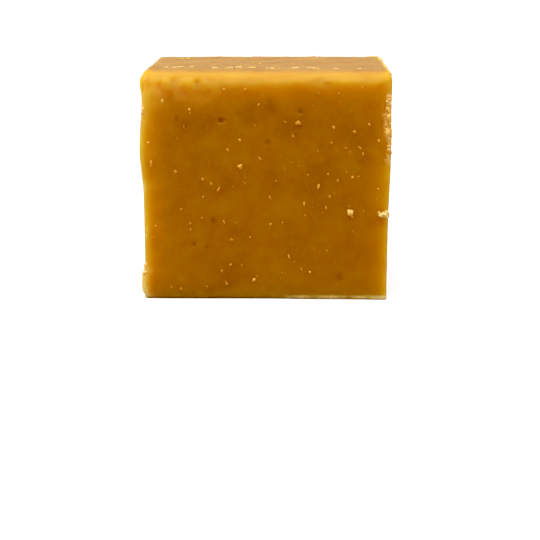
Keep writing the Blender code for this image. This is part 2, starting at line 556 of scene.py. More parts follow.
def crumbled(points):
    """How far the grain has broken open at each point: 0 in the faces, most at the edges."""
    amount = np.zeros(len(points))
    for side, other, strength in EDGE_CRUMBLE:
        near = 1.0 - ramp(from_edge(points, side, other), 0.1 * MM, CRUMBLE_WIDTH)
        amount = np.maximum(amount, strength * near)
    patch = noise_at(points, CRUMBLE_PATCH, (2.9, 5.3, 1.1))
    patch += 0.6 * noise_at(points, CRUMBLE_PATCH / 3.0, (8.2, 0.4, 3.3))
    amount *= 0.12 + 0.88 * ramp(patch, -0.2, 0.45)
    ragged = 1.0 + 0.5 * noise_at(points, 0.9 * MM, (1.3, 6.7, 4.9))
    ragged += 0.5 * ramp(noise_at(points, 2.4 * MM, (7.1, 0.9, 2.8)), -0.1, 0.5)
    for start, end, reach, strength in CRUMBLE_RUNS:
        distance = from_run(points, start, end) * ragged
        amount = np.maximum(amount, strength * (1.0 - ramp(distance, 0.3 * reach, reach)))
    return amount


def dried(points):
    """How much yellower the fudge is beside its edges, in soft patches: partly drier fudge, partly
    a painted glow of light shining through the edges.
    """
    inward = from_sides(points)
    to_edge = to_nearest_edge(inward)
    amount = np.zeros(len(points))
    for side, strength, reach in DRIED_AND_GLOW_SIDES:
        distance = np.maximum(inward[side], to_edge)
        amount = np.maximum(amount, strength * (1.0 - ramp(distance, 0.0, reach * MM)))
    amount *= 0.75 + 0.45 * ramp(points[:, 2], 6.0 * MM, 13.0 * MM)
    patch = noise_at(points, (2.6 * MM, 2.6 * MM, 1.7 * MM), (9.1, 3.7, 0.2))
    return amount * (0.7 + 0.6 * ramp(patch, -0.4, 0.5))


def dust_and_sheen(points):
    """The thin dust of dry grain along the edges and in soft patches of the front, with painted
    sheen high on the left of the shoulder and a painted highlight on the burr's rounded lip.
    """
    # Painted highlight on the burr's rounded lip at the foot of the left edge, over dust along
    # that edge.
    lip = 1.0 - ramp(points[:, 2], BURR_TOP - 0.3 * MM, BURR_TOP + 0.9 * MM)
    to_left = from_edge(points, "front", "left")
    dust = (0.27 + 0.6 * lip) * (1.0 - ramp(to_left, 0.3 * MM, (1.3 + 0.4 * lip) * MM))
    foot = 0.15 + 0.95 * ramp(points[:, 0], FOOT_LIP_START, FOOT_LIP_FULL)
    to_foot = from_edge(points, "front", "base")
    dust = np.maximum(dust, foot * (1.0 - ramp(to_foot, 0.25 * MM, 0.6 * MM)))
    for side, other in (("front", "right"), ("back", "left"), ("back", "right")):
        reach = 1.0 - ramp(from_edge(points, side, other), 0.3 * MM, 1.1 * MM)
        dust = np.maximum(dust, 0.12 * reach)
    for x, z, radius, strength in FRONT_DUST_AND_SHEEN:
        distance = ragged_distance(points, on_side("front", x * MM, z * MM), radius * MM)
        dust = np.maximum(dust, strength * (1.0 - ramp(distance, 0.1, 1.0)))
    ragged = 1.0 + 0.5 * noise_at(points, 0.5 * MM, (2.8, 4.6, 8.3))
    for (x, z), (to_x, to_z), radius, strength in FRONT_SMEARS:
        start, end = (on_side("front", a * MM, b * MM) / MM for a, b in ((x, z), (to_x, to_z)))
        distance = from_run(points, start, end) * ragged
        dust = np.maximum(dust, strength * (1.0 - ramp(distance, 0.1 * radius, radius)))
    return dust * (0.75 + 0.5 * noise_at(points, (MM, MM, 2.0 * MM), (6.1, 6.4, 2.2)))


def side_relief(points):
    """The fine shape of the cut faces: soft lumps, and the fine upright drag of the blade."""
    return layered_noise(points, SIDE_RELIEF) * MM


def shoulder_relief(points, outward):
    """The dents and dragged lumps of the rounding, where the blade broke the skin."""
    rounding = bump(outward[:, 2], 0.4, 0.45)
    relief = layered_noise(points, SHOULDER_RELIEF) * MM * rounding
    on_front = points[:, 1] < -HALF_DEPTH + 0.01 * MM
    x, z = points[on_front][:, 0] / MM, points[on_front][:, 2] / MM
    ragged = 1.0 + 0.5 * noise_at(points[on_front], 0.7 * MM, (4.9, 1.6, 3.3))
    for across, up, wide, tall, depth in SHOULDER_DENTS:
        distance = np.hypot((x - across) / wide, (z - up) / tall) * ragged
        relief[on_front] -= depth * MM * (1.0 - ramp(distance, 0.0, 1.0))
    torn = bump(points[:, 2], TORN_HEIGHT, TORN_REACH) * (points[:, 1] < 1.0 * MM - HALF_DEPTH)
    torn *= ramp(-points[:, 0], 3.0 * MM, 9.0 * MM)
    return relief + TORN_DEPTH * torn * noise_at(points, TORN_SIZE, (8.8, 2.3, 1.4))


def seam_cracked(points):
    """How far the seam is open here: 1 within its breaks and 0 between them."""
    x = points[:, 0] / MM
    return np.max([bump(x, (a + b) / 2, (b - a) / 2 + 0.25) for a, b in SEAM_BREAKS], axis=0)


def from_seam(points):
    """How far behind the seam each point is."""
    stray = SEAM_STRAY * noise_at(points, 5.0 * MM, (4.0, 4.0, 4.0))
    return points[:, 1] - SEAM_Y - SEAM_SLANT * points[:, 0] - stray


def skin_relief(points):
    """The fine shape of the top: folds steeper on one side, creases, and drawn-out lines."""
    phase, flat = ripple_phase(points)
    margin = ramp(from_top_edge(points), 0.0, RIPPLE_MARGIN)
    fold = 0.3 * RIPPLE_DEPTH * np.sin(2.0 * phase + 1.2)
    broken = ramp(noise_at(flat, (6.0 * MM, 3.0 * MM, MM), (1.2, 3.4, 0.0)), -0.2, 0.25)
    turn = (phase + 2.2) % math.tau - math.pi
    crease = -CREASE_DEPTH * np.exp(-((turn / CREASE_WIDTH) ** 2)) * broken
    lines = LINE_DEPTH * noise_at(flat, (9.0 * MM, 0.8 * MM, MM), (5.1, 2.7, 0.0))
    ruffle = RUFFLE_DEPTH * noise_at(points, 1.6 * MM, (6.6, 1.5, 2.8))
    seam = SEAM_HEIGHT * bump(from_seam(points), 0.0, SEAM_WIDTH) * seam_cracked(points)
    return (fold + crease) * margin + lines + ruffle + seam


def sharp_points(bm):
    """Where the grid's points lie on the sharp block."""
    grid = np.array([v.co for v in bm.verts])
    grid = (1.0 - EDGE_CROWDING) * grid + EDGE_CROWDING * np.sin(grid * math.pi / 2.0)
    return BLOCK_LOW + (grid + 1.0) / 2.0 * (BLOCK_HIGH - BLOCK_LOW)


def refine(bm, wanted):
    """Splits in four the grid squares that wanted picks out, given all their middles."""
    points = sharp_points(bm)
    bm.verts.index_update()
    middles = np.array([points[[v.index for v in face.verts]].mean(axis=0) for face in bm.faces])
    chosen = wanted(middles)
    edges = {edge for face, take in zip(bm.faces, chosen) if take for edge in face.edges}
    bmesh.ops.subdivide_edges(bm, edges=list(edges), cuts=1, use_grid_fill=True)


def near_open_edge(middles):
    inward = from_sides(middles)
    return (to_nearest_edge(inward) < FINE_EDGE_BAND) & (inward["base"] > 0.05 * MM)


def on_top(middles):
    return middles[:, 2] > HEIGHT - 0.01 * MM


def near_pit(middles):
    near = np.zeros(len(middles), dtype=bool)
    for middle, radius, _, _ in PITS:
        near |= np.linalg.norm(middles - middle, axis=1) < radius * FINE_PIT_BAND + 0.15 * MM
    return near


def gridded_block():
    bm = bmesh.new()
    bmesh.ops.create_cube(bm, size=2.0)
    bmesh.ops.subdivide_edges(bm, edges=bm.edges[:], cuts=GRID_SQUARES - 1, use_grid_fill=True)
    refine(bm, on_top)
    refine(bm, near_open_edge)
    refine(bm, near_pit)
    refine(bm, near_pit)
    return bm


def add_values(mesh, **values):
    """Stores named values on the mesh's points, for its material to read."""
    for name, value in values.items():
        layer = mesh.attributes.new(name, "FLOAT", "POINT")
        layer.data.foreach_set("value", np.clip(value, 0.0, 1.0).astype(np.float32))


def sink_pits(relief, points):
    """Sinks the pits in the relief. Tells how dark the painted shade in the pits and the stains
    are, and where highlights are painted on the pits' pale lower lips.
    """
    dark = np.zeros(len(points))
    lip = np.zeros(len(points))
    for middle, radius, depth, _ in PITS:
        distance = ragged_distance(points, middle, radius)
        hollow = 1.0 - ramp(distance, 0.1, 1.0)
        rim = bump(distance, 1.12, 0.4)
        relief += radius * depth * (0.15 * rim - hollow)
        # Painted shade: each pit is darkened inside, where shade falls in it.
        dark = np.maximum(dark, (0.32 + depth) * (1.0 - ramp(distance, 0.2, 1.2)))
        # Painted highlight on the lower lip of each pit, which faces the light from above.
        below = ramp(middle[2] - points[:, 2], 0.2 * radius, 0.8 * radius)
        pale = min(9.0 * depth**2, 0.7)
        lip = np.maximum(lip, pale * below * bump(distance, 0.9, 0.35))
    for middle, radius, strength in find_stains_and_shade():
        distance = ragged_distance(points, middle, radius, STAIN_RAGGEDNESS)
        dark = np.maximum(dark, strength * (1.0 - ramp(distance, 0.1, 1.0)))
    return dark, lip


def add_object(name, data):
    thing = bpy.data.objects.new(name, data)
    bpy.context.scene.collection.objects.link(thing)
    return thing


def make_block():
    """The block, and how far its grain has broken open at each of its points."""
    bm = gridded_block()
    sharp = sharp_points(bm)
    points, outward = rounded_block(sharp)
    points += blade_wander(points)
    points[:, 2] += top_ripple(points)
    low, high = points.min(axis=0), points.max(axis=0)
    points = BLOCK_LOW + (points - low) / (high - low) * (BLOCK_HIGH - BLOCK_LOW)
    points += crown(points) + splay(points)
    points -= outward * shoulder_flat(sharp, outward)[:, None]

    skin = ramp(outward[:, 2], SKIN_START, 1.0)
    # Painted highlight: the skin's colour is paler along the crests of the ripples.
    fold = 0.5 + 0.5 * np.sin(ripple_phase(sharp)[0] + 0.4)
    off_base = ramp(sharp[:, 2], 0.0, 0.5 * MM)
    relief = (1.0 - skin) * side_relief(sharp) + skin * skin_relief(sharp)
    relief += shoulder_relief(sharp, outward)

    broken = crumbled(sharp)
    # dry also takes the painted sheen on the shoulder and the painted highlight on the burr's lip.
    dry = np.maximum(broken, dust_and_sheen(sharp))
    seam = skin * seam_cracked(sharp) * bump(from_seam(sharp), 0.0, SEAM_DRY_WIDTH)
    dry = np.maximum(dry, SEAM_DRYNESS * seam)
    rough = np.abs(noise_at(sharp, CRUMBLE_GRAIN)) + 0.5 * noise_at(sharp, CRUMBLE_GRAIN / 2.2)
    relief += CRUMBLE_DEPTH * dry * (0.2 - 1.3 * rough)

    dark, lip = sink_pits(relief, sharp)
    points += outward * (relief * off_base)[:, None]
    points[:, 1] -= foot_lip(sharp)
    points[:, 2] = np.maximum(points[:, 2], BLOCK_LOW[2])

    for vertex, point in zip(bm.verts, points):
        vertex.co = point
    mesh = bpy.data.meshes.new("fudge")
    bm.to_mesh(mesh)
    bm.free()
    mesh.shade_smooth()
    dry *= 1.0 - 0.35 * ramp(rough, 0.1, 0.45)
    # dry also carries the painted highlight on the pits' lower lips, and pit carries painted shade
    # in pits and dents as well as stains.
    add_values(mesh, skin=skin, dry=np.maximum(dry, LIP_HIGHLIGHT * lip), pit=dark * (1.0 - lip),
               fold=fold, dried=dried(sharp))
    mesh.materials.append(caramel_fudge())
    return add_object("fudge", mesh), broken


# --- grains and crumbs ---

# The grains that show best in the front: across, up, length and width in mm, lean in degrees
# and paleness.
FRONT_GRAINS = (
    (-2.9, 16.1, 0.76, 0.66, 15, 0.9),
    (-3.0, 19.2, 0.46, 0.44, 0, 0.8),
    (3.9, 21.2, 0.8, 0.7, 30, 0.4),
    (3.3, 19.7, 0.4, 0.3, 40, 0.6),
    (8.1, 20.8, 0.5, 0.4, 0, 0.7),
    (10.6, 20.2, 0.5, 0.42, 20, 0.6),
    (12.3, 21.1, 0.42, 0.32, 30, 0.7),
    (13.5, 19.2, 0.36, 0.36, 0, 1.0),
    (-10.6, 15.4, 0.5, 0.42, 20, 0.7),
    (-5.5, 13.3, 0.85, 0.42, -35, 0.6),
    (-7.4, 14.6, 0.55, 0.4, 20, 0.4),
    (6.4, 13.7, 0.75, 0.36, -15, 0.9),
    (7.7, 12.5, 0.55, 0.25, 20, 0.75),
    (7.3, 11.2, 0.6, 0.28, 15, 0.7),
    (4.7, 11.6, 0.6, 0.28, 10, 0.8),
    (0.6, 12.4, 0.6, 0.24, 25, 0.7),
    (10.4, 14.8, 0.45, 0.4, 0, 0.6),
    (11.1, 14.9, 0.35, 0.3, 0, 0.3),
    (13.5, 13.4, 0.4, 0.36, 0, 0.7),
    (-1.3, 2.3, 0.6, 0.4, -35, 1.0),
    (-0.9, 2.8, 0.35, 0.2, 0, 0.7),
    (2.9, 5.2, 0.7, 0.28, 20, 0.85),
    (4.4, 3.6, 0.6, 0.25, 20, 0.6),
    (5.4, 3.3, 0.42, 0.36, 0, 0.8),
    (-4.6, 1.8, 0.36, 0.3, 0, 0.7),
    (-10.0, 10.9, 0.36, 0.3, 0, 0.6),
    (-8.9, 9.2, 0.4, 0.28, 10, 0.5),
    (-8.9, 8.5, 0.42, 0.26, -10, 0.7),
    (-13.1, 8.9, 0.3, 0.3, 0, 0.8),
    (-4.9, 9.4, 0.55, 0.22, 20, 0.8),
    (-4.0, 7.2, 0.5, 0.36, 60, 0.5),
    (-12.1, 23.8, 0.55, 0.34, 0, 1.0),
    (-8.9, 22.8, 0.36, 0.34, 0, 0.9),
    (-4.8, 25.2, 0.42, 0.4, 0, 0.6),
    (-2.3, 25.2, 0.4, 0.3, 20, 0.4),
    (8.7, 24.7, 0.36, 0.3, 40, 0.4),
    (7.9, 18.9, 0.5, 0.34, -40, 0.45),
    (9.6, 18.3, 0.4, 0.26, -40, 0.25),
    (-14.0, 26.4, 0.7, 0.3, 0, 0.7),
    (-13.8, 18.9, 0.4, 0.4, 0, 0.9),
    (-13.5, 16.4, 0.9, 0.3, 0, 0.9),
)
FRONT_GRAIN_PROUD = 0.28  # how far those stand out of the face, in their own widths
FRONT_GRAIN_PALENESS = 0.7  # how much of their paleness shows
GRAINS_PER_SIDE = 110  # besides those
TOP_CRUMBS = 9
EDGE_CRUMBS = 1750
SEAM_CRUMBS = 9  # for each mm of its breaks
PIT_CRYSTALS = 8  # in each hollow of a void
DROP = 5.0 * MM  # how far out of the block a grain starts, before it is dropped on

# The big grains and flakes, in the same units: place, way out, length, width, thickness,
# lean and paleness.
FLAKES = (
    ((10.2, -12.5, 10.6), (0.0, -1.0, 0.3), 0.76, 0.74, 0.5, 0, 0.8),
    ((10.3, -12.5, 10.5), (0.0, -1.0, 0.1), 0.66, 0.7, 0.5, 30, 0.8),
    ((13.9, -12.5, 10.25), (0.1, -1.0, 0.3), 0.8, 0.45, 0.4, 75, 1.0),
    ((14.2, -12.5, 10.4), (0.2, -1.0, 0.4), 0.75, 0.6, 0.6, 60, 1.0),
    ((14.45, -12.5, 10.15), (0.3, -1.0, 0.1), 0.8, 0.5, 0.5, 80, 1.0),
    ((14.75, -12.4, 10.55), (0.7, -0.7, 0.2), 0.7, 0.45, 0.5, 50, 1.0),
    ((14.8, -12.4, 10.15), (0.7, -0.7, 0.0), 0.55, 0.4, 0.5, 70, 1.0),
    ((15.0, -12.3, 23.4), (0.7, -0.7, 0.0), 0.9, 0.5, 0.35, 10, 0.9),
    ((14.7, -12.5, 21.9), (0.4, -0.9, 0.2), 0.9, 0.5, 0.4, 10, 0.8),
    ((14.5, -12.5, 20.3), (0.2, -0.95, 0.2), 1.3, 0.45, 0.4, 0, 0.86),
    ((14.9, -12.5, 21.2), (0.5, -0.9, 0.2), 0.7, 0.45, 0.35, 25, 0.76),
    ((15.0, -12.4, 20.3), (0.6, -0.8, 0.1), 0.8, 0.5, 0.35, -10, 0.74),
    ((15.0, -12.3, 18.6), (0.7, -0.7, 0.0), 0.9, 0.35, 0.25, -10, 0.66),
    ((14.5, 12.0, 27.2), (0.4, 0.2, 1.0), 1.0, 0.7, 0.6, 40, 0.9),
    ((14.0, 12.1, 27.3), (0.1, 0.2, 1.0), 0.6, 0.45, 0.4, 80, 0.9),
    ((-14.8, -12.4, 3.9), (-0.7, -0.7, 0.0), 0.6, 0.4, 0.4, 10, 0.9),
    ((-14.7, -12.4, 3.3), (-0.7, -0.7, 0.0), 0.5, 0.35, 0.35, -20, 0.9),
    ((-14.9, -12.3, 22.4), (-0.8, -0.6, 0.0), 0.45, 0.35, 0.3, 0, 0.9),
)


def ball(detail):
    """The points and triangles of a unit ball."""
    bm = bmesh.new()
    bmesh.ops.create_icosphere(bm, subdivisions=detail, radius=1.0)
    points = np.array([v.co for v in bm.verts])
    faces = np.array([[v.index for v in face.verts] for face in bm.faces])
    bm.free()
    return points, faces


def broken_lumps(count, detail, rng):
    """Irregular lumps of about the unit ball's size, each with a few flat breaks."""
    points, faces = ball(detail)
    shapes = np.repeat(points[None], count, axis=0)
    for waves, depth in ((1.5, 0.24), (3.5, 0.18)):
        ways = rng.normal(size=(count, 3)) * waves
        starts = rng.uniform(0.0, math.tau, size=(count, 1))
        swell = np.sin(ways @ points.T + starts)
        shapes *= (1.0 + depth * swell)[..., None]
    for _ in range(5):
        breaks = rng.normal(size=(count, 3))
        breaks /= np.linalg.norm(breaks, axis=1)[:, None]
        beyond = np.einsum("cpk,ck->cp", shapes, breaks) - rng.uniform(0.6, 0.95, (count, 1))
        shapes -= np.maximum(beyond, 0.0)[..., None] * breaks[:, None, :]
    return shapes, faces


def make_crumbs(name, crumbs, detail, rng):
    """Joins crumbs in one piece.

    Each is a place on the surface and the way out there, then its length, width,
    thickness, lean, how far it stands proud and its paleness.
    """
    places, outwards = (np.array([crumb[i] for crumb in crumbs]) for i in (0, 1))
    length, width, thick, lean, proud, pale = np.array([crumb[2:] for crumb in crumbs]).T
    outwards = outwards / np.linalg.norm(outwards, axis=1)[:, None]
    up = np.where(np.abs(outwards[:, 2:]) > 0.8, (0.0, 1.0, 0.0), (0.0, 0.0, 1.0))
    up = up - np.sum(up * outwards, axis=1)[:, None] * outwards
    up /= np.linalg.norm(up, axis=1)[:, None]
    across = np.cross(up, outwards)
    turn = np.radians(lean)[:, None]
    long_way = up * np.cos(turn) - across * np.sin(turn)
    wide_way = across * np.cos(turn) + up * np.sin(turn)

    shapes, faces = broken_lumps(len(crumbs), detail, rng)
    low, high = shapes.min(axis=1, keepdims=True), shapes.max(axis=1, keepdims=True)
    shapes = (2.0 * shapes - low - high) / (high - low)
    points = places[:, None] + (outwards * (proud - thick / 2)[:, None])[:, None]
    for way, size, axis in ((wide_way, width, 0), (long_way, length, 1), (outwards, thick, 2)):
        points = points + shapes[..., axis, None] * (way * size[:, None] / 2)[:, None]
    points = points.reshape(-1, 3)
    points[:, 2] = np.maximum(points[:, 2], BLOCK_LOW[2])
    per_lump = shapes.shape[1]
    faces = (faces[None] + np.arange(len(crumbs))[:, None, None] * per_lump).reshape(-1, 3)

    mesh = bpy.data.meshes.new(name)
    mesh.from_pydata(points.tolist(), [], faces.tolist())
    mesh.shade_smooth()
    add_values(mesh, pale=np.repeat(pale, per_lump))
    return add_object(name, mesh)


def surface_of(piece):
    mesh = piece.data
    return BVHTree.FromPolygons([v.co for v in mesh.vertices], [p.vertices for p in mesh.polygons])


def touch(surface, start, towards):
    """Where something dropped from start towards the block lands, and the way out there."""
    place, out, _, _ = surface.ray_cast(Vector(start), Vector(towards))
    return np.array(place), np.array(out)


def grains_in_sides(surface, rng):
    """The grains that the blade cut through or dragged upright in the four sides."""
    for side, (_, out) in SIDES.items():
        outward = np.array((*out, 0.0))
        shown = FRONT_GRAINS if side == "front" else ()
        for x, z, length, width, lean, pale in shown:
            start = on_side(side, x * MM, z * MM) + outward * DROP
            place, way = touch(surface, start, -outward)
            length, width = length * MM, width * MM
            yield (place, way, length, width, 0.8 * width,
                   lean, FRONT_GRAIN_PROUD * width, FRONT_GRAIN_PALENESS * pale)
        for _ in range(GRAINS_PER_SIDE):
            reach = half_across(side) - 1.2 * MM
            start = on_side(side, rng.uniform(-reach, reach), rng.uniform(1.0 * MM, 25.8 * MM))
            place, way = touch(surface, start + outward * DROP, -outward)
            length = rng.lognormal(math.log(0.32 if shown else 0.38), 0.35) * MM
            width = length * rng.uniform(0.4, 1.0)
            pale = rng.beta(1.4, 3.0) if shown else rng.beta(1.6, 2.4)
            yield (place, way, length, width, 0.8 * width,
                   rng.normal(8.0, 22.0), 0.15 * width, pale)


def crumbs_on_edges(piece, broken, rng):
    """The crumbs that cling wherever the grain broke open, most where it broke deepest."""
    points = np.array([v.co for v in piece.data.vertices])
    ways = np.array([v.normal for v in piece.data.vertices])
    weight = np.where(points[:, 2] > 0.2 * MM, np.maximum(broken - 0.3, 0.0) ** 1.5, 0.0)
    chances = weight / weight.sum()
    for index in rng.choice(len(points), size=EDGE_CRUMBS, replace=False, p=chances):
        length = min(rng.lognormal(math.log(0.19), 0.55), 0.7) * MM
        width = length * rng.uniform(0.5, 1.0)
        thick = length * rng.uniform(0.5, 0.9)
        pale = 0.55 + 0.35 * rng.beta(2.0, 1.0)
        yield (points[index], ways[index], length, width, thick,
               rng.uniform(-90.0, 90.0), rng.uniform(0.25, 0.5) * thick, pale)


def flakes(surface):
    """The listed big grains and flakes, each dropped on along its own way out."""
    for place, out, length, width, thick, lean, pale in FLAKES:
        outward = np.array(out) / np.linalg.norm(out)
        place, _ = touch(surface, np.array(place) * MM + outward * DROP, -outward)
        yield place, outward, length * MM, width * MM, thick * MM, lean, 0.6 * thick * MM, pale


def crumbs_on_seam(surface, rng):
    for start, end in SEAM_BREAKS:
        for _ in range(round(SEAM_CRUMBS * (end - start))):
            spot = np.array([[rng.uniform(start, end) * MM, SEAM_Y, HEIGHT]])
            spot[0, 1] -= from_seam(spot)[0] + rng.normal(0.0, 0.1) * MM
            place, way = touch(surface, spot[0] + (0.0, 0.0, DROP), (0.0, 0.0, -1.0))
            length = rng.uniform(0.16, 0.34) * MM
            width = length * rng.uniform(0.5, 0.8)
            yield (place, way, length, width, 0.8 * width,
                   rng.normal(90.0, 20.0), 0.3 * width, rng.uniform(0.85, 1.0))


def crumbs_on_top(surface, rng):
    for _ in range(TOP_CRUMBS):
        x = rng.uniform(-0.9, 0.9) * HALF_WIDTH
        y = rng.uniform(-0.75, 0.9) * HALF_DEPTH
        place, way = touch(surface, (x, y, HEIGHT + DROP), (0.0, 0.0, -1.0))
        length = rng.uniform(0.2, 0.5) * MM
        width = length * rng.uniform(0.45, 0.9)
        thick = width * rng.uniform(0.6, 0.9)
        yield (place, way, length, width, thick,
               rng.uniform(-90.0, 90.0), 0.5 * thick, rng.uniform(0.7, 1.0))


def crystals_in_pits(surface, rng):
    """Loose grain in the deeper pits of the other sides.

    It is packed in the hollows of voids, and lies on the lower lip of the rest.
    """
    for middle, radius, depth, side in PITS:
        if depth < 0.25 or side in ("top", "front"):
            continue
        out = np.array((*SIDES[side][1], 0.0))
        across = np.array((*SIDES[side][0], 0.0))
        wide = depth >= VOID_DEPTH
        for _ in range(PIT_CRYSTALS if wide else 3):
            angle = rng.uniform(0.0, math.tau) if wide else rng.normal(-math.pi / 2, 0.5)
            reach = radius * (math.sqrt(rng.uniform(0.05, 1.3)) if wide else rng.uniform(0.8, 1.0))
            offset = across * math.cos(angle) + np.array((0.0, 0.0, math.sin(angle)))
            place, way = touch(surface, middle + offset * reach + out * DROP, -out)
            length = rng.uniform(0.14, 0.34) * MM * (1.0 if wide else 0.7)
            width = length * rng.uniform(0.6, 1.0)
            yield (place, way, length, width, 0.8 * width,
                   rng.uniform(-90.0, 90.0), 0.3 * width, rng.uniform(0.2, 0.8))


# --- finishes ---

CUT_DARK = "#A56402"
CUT = "#B06D03"
CUT_LIGHT = "#B67605"
# Yellower beside the edges: partly drier fudge, partly a painted glow of light shining through
# them.
CUT_DRIED_AND_GLOW = "#D3961B"
SKIN_DARK = "#7E4C1D"
SKIN = "#895522"
SKIN_LIGHT = "#935E27"
# The dark of the painted shade in pits and dents, of the painted shadow low on the front, and of
# stains.
PIT_SHADE_AND_STAIN = "#7F4002"
DUST_THIN = "#E0902A"
DUST = "#EDA341"
DRY_SUGAR = "#F7B462"
GRAIN = "#D88018"
GRAIN_PALE = "#F8A032"
GRAIN_DRY = "#FFB854"
SUGAR = "#FFD274"

BLOTCH_SIZE = 3.5 * MM
SKIN_BLOTCH_SIZE = 4.0 * MM
SPECK_SIZE = 0.28 * MM
FINE_GRAIN = 0.16 * MM
SUGAR_GRAIN = 0.12 * MM
LIGHT_DEPTH = 8.0 * MM  # how far light strays inside the fudge
DRY_SEE_THROUGH = 0.4  # the share of it that dry grain still lets in
CUT_ROUGHNESS = 0.62
SKIN_ROUGHNESS = 0.54
SUGAR_ROUGHNESS = 0.5
CREST_HIGHLIGHT = 0.06  # how much paler the skin is painted along the crest of a ripple, a painted highlight


def linear(colour):
    """The linear colour of an sRGB hex value."""
    parts = [int(colour[i : i + 2], 16) / 255.0 for i in (1, 3, 5)]
    parts = [c / 12.92 if c <= 0.04045 else ((c + 0.055) / 1.055) ** 2.4 for c in parts]
    return (*parts, 1.0)


def add_node(tree, kind, settings=(), links=()):
    """Adds a node. Settings name its own properties or its inputs; links feed its inputs."""
    node = tree.nodes.new(kind)
    for name, value in dict(settings).items():
        if isinstance(name, str) and hasattr(node, name):
            setattr(node, name, value)
        else:
            node.inputs[name].default_value = value
    for name, source in dict(links).items():
        tree.links.new(source, node.inputs[name])
    return node


def new_material(name):
    """A new material, its node tree and its shader."""
    material = bpy.data.materials.new(name)
    material.use_nodes = True
    tree = material.node_tree
    return material, tree, tree.nodes["Principled BSDF"]


def stored(tree, name):
    """The values of this name that the mesh stores, as a socket."""
    return add_node(tree, "ShaderNodeAttribute", {"attribute_name": name}).outputs["Fac"]


def show_camera(tree, kind, output, seen, cast):
    """Gives the camera one colour to see, and everything else another to be lit by."""
    path = add_node(tree, "ShaderNodeLightPath")
    under, over = (add_node(tree, kind, {"Color": (*colour, 1.0)}) for colour in (cast, seen))
    links = {0: path.outputs["Is Camera Ray"], 1: under.outputs[0], 2: over.outputs[0]}
    mix = add_node(tree, "ShaderNodeMixShader", {}, links)
    tree.links.new(mix.outputs[0], tree.nodes[output].inputs["Surface"])


def grainy(tree, size, detail=2.0, roughness=0.5):
    """Noise with features of this size, as a socket."""
    place = add_node(tree, "ShaderNodeTexCoord").outputs["Object"]
    settings = {"Scale": 1.0 / size, "Detail": detail, "Roughness": roughness}
    return add_node(tree, "ShaderNodeTexNoise", settings, {"Vector": place}).outputs["Fac"]


def coloured(tree, share, stops):
    """The colour socket of a ramp along share. Its stops are pairs of place and hex colour."""
    node = add_node(tree, "ShaderNodeValToRGB", {}, {"Fac": share})
    elements = node.color_ramp.elements
    while len(elements) < len(stops):
        elements.new(0.5)
    for element, (place, colour) in zip(elements, stops):
        element.position = place
        element.color = linear(colour)
    return node.outputs["Color"]


def ranged(tree, value, low, high, to_low, to_high):
    """The value carried from one range to another and held inside it, as a socket."""
    settings = {"From Min": low, "From Max": high, "To Min": to_low, "To Max": to_high}
    return add_node(tree, "ShaderNodeMapRange", settings, {"Value": value}).outputs[0]


def add_relief(tree, shader, height, strength, depth):
    settings = {"Strength": strength, "Distance": depth}
    node = add_node(tree, "ShaderNodeBump", settings, {"Height": height})
    tree.links.new(node.outputs[0], shader.inputs["Normal"])


def mixed(tree, share, under, over):
    """The colour socket that goes from under to over as share goes from 0 to 1."""
    mix = tree.nodes.new("ShaderNodeMix")
    mix.data_type = "RGBA"
    for socket, value in ((mix.inputs[0], share), (mix.inputs[6], under), (mix.inputs[7], over)):
        if isinstance(value, bpy.types.NodeSocket):
            tree.links.new(value, socket)
        else:
            socket.default_value = value
    return mix.outputs[2]


def caramel_fudge():
    """Grained sugar and butter, boiled to caramel: dull and a little see-through.

    The blade left the sides smooth and deep orange brown, and yellower beside the edges, partly
    drier there and partly a painted glow of light shining through. The top set to a tan, satin
    skin, and where the grain broke open the sugar is dry and pale.
    """
    material, tree, shader = new_material("caramel_fudge")
    skin, dry, pit, fold, dried_share = (
        stored(tree, name) for name in ("skin", "dry", "pit", "fold", "dried")
    )

    blotches = grainy(tree, BLOTCH_SIZE, 3.0, 0.55)
    body = coloured(tree, blotches, ((0.28, CUT_DARK), (0.5, CUT), (0.72, CUT_LIGHT)))
    tan = grainy(tree, SKIN_BLOTCH_SIZE, 4.0, 0.6)
    # The crests of the ripples painted paler, a painted highlight.
    crest_lit = add_node(tree, "ShaderNodeMath", {
        "operation": "MULTIPLY_ADD",
        1: CREST_HIGHLIGHT,
    }, {0: fold, 2: tan})
    stops = ((0.36, SKIN_DARK), (0.56, SKIN), (0.76, SKIN_LIGHT))
    skin_colour = coloured(tree, crest_lit.outputs[0], stops)
    specks = ranged(tree, grainy(tree, SPECK_SIZE, 1.0), 0.64, 0.76, 0.0, 0.4)
    dust = coloured(tree, dry, ((0.1, DUST_THIN), (0.4, DUST), (0.85, DRY_SUGAR)))

    # Yellower beside the edges: drier fudge and a painted glow of light through them.
    cut = mixed(tree, dried_share, body, linear(CUT_DRIED_AND_GLOW))
    surface = mixed(tree, skin, cut, skin_colour)
    surface = mixed(tree, specks, surface, linear(GRAIN))
    # Painted shade in the pits and dents, a painted shadow low on the front, and stains.
    surface = mixed(tree, pit, surface, linear(PIT_SHADE_AND_STAIN))
    # Pale dust, with painted sheen and highlights among it.
    surface = mixed(tree, dry, surface, dust)
    tree.links.new(surface, shader.inputs["Base Color"])

    gloss = ranged(tree, skin, 0.0, 1.0, CUT_ROUGHNESS, SKIN_ROUGHNESS)
    tree.links.new(gloss, shader.inputs["Roughness"])
    add_relief(tree, shader, grainy(tree, FINE_GRAIN, 3.0, 0.6), 0.5, 0.03 * MM)

    shader.inputs["Specular IOR Level"].default_value = 0.12
    see_through = ranged(tree, dry, 0.45, 0.95, 1.0, DRY_SEE_THROUGH)
    tree.links.new(see_through, shader.inputs["Subsurface Weight"])
    shader.inputs["Subsurface Radius"].default_value = (1.0, 0.8, 0.4)
    shader.inputs["Subsurface Scale"].default_value = LIGHT_DEPTH
    return material


